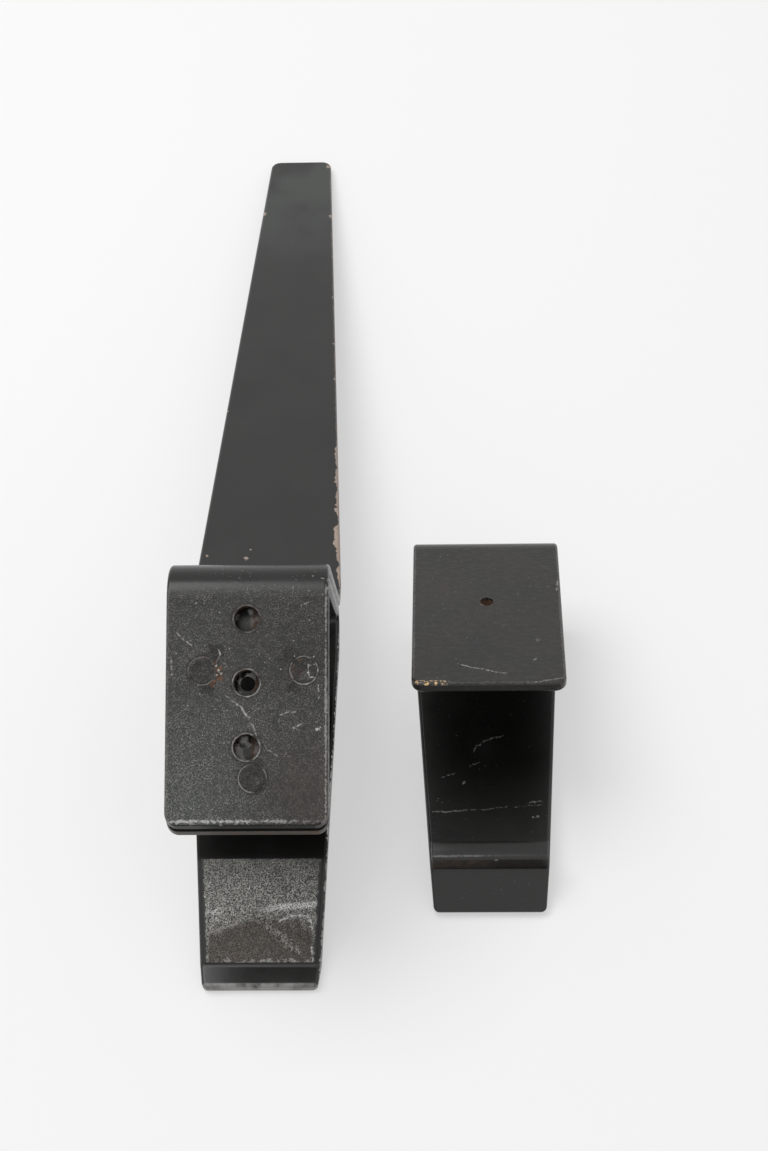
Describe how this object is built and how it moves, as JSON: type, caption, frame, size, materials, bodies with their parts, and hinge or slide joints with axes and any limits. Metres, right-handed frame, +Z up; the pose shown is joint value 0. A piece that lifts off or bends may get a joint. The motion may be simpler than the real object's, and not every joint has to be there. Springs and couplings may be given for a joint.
{
  "type": "hook latch",
  "caption": "Two-piece hook latch folded from flat bar: a riveted lever hook with a long tapering handle and a lined jaw, and a separate keeper hook with a stop bar.",
  "frame": {"origin": "on the table, in the middle of the pair's length and width", "axes": "+Z up from the table, +X from the lever hook to the keeper, +Y from the mouths to the handle's end"},
  "size_m": [0.0948, 0.2893, 0.0779],
  "materials": {
    "black_paint": "satin black paint, worn at edges",
    "rivet_steel": "painted over, worn rims",
    "grip_lining": "rough, grey-brown"
  },
  "bodies": {
    "lever": {"lever_clip": "black_paint", "handle_strip": "black_paint", "rivet_left": "rivet_steel", "rivet_right": "rivet_steel", "rivet_lower": "rivet_steel", "grip_pad": "grip_lining"},
    "keeper": {"keeper_clip": "black_paint", "stop_bar": "black_paint"}
  },
  "joints": [
    {"name": "keeper_lift", "type": "slide", "parent": "lever", "child": "keeper", "axis": [0, 0, 1], "range_m": [0, 0.1]}
  ]
}
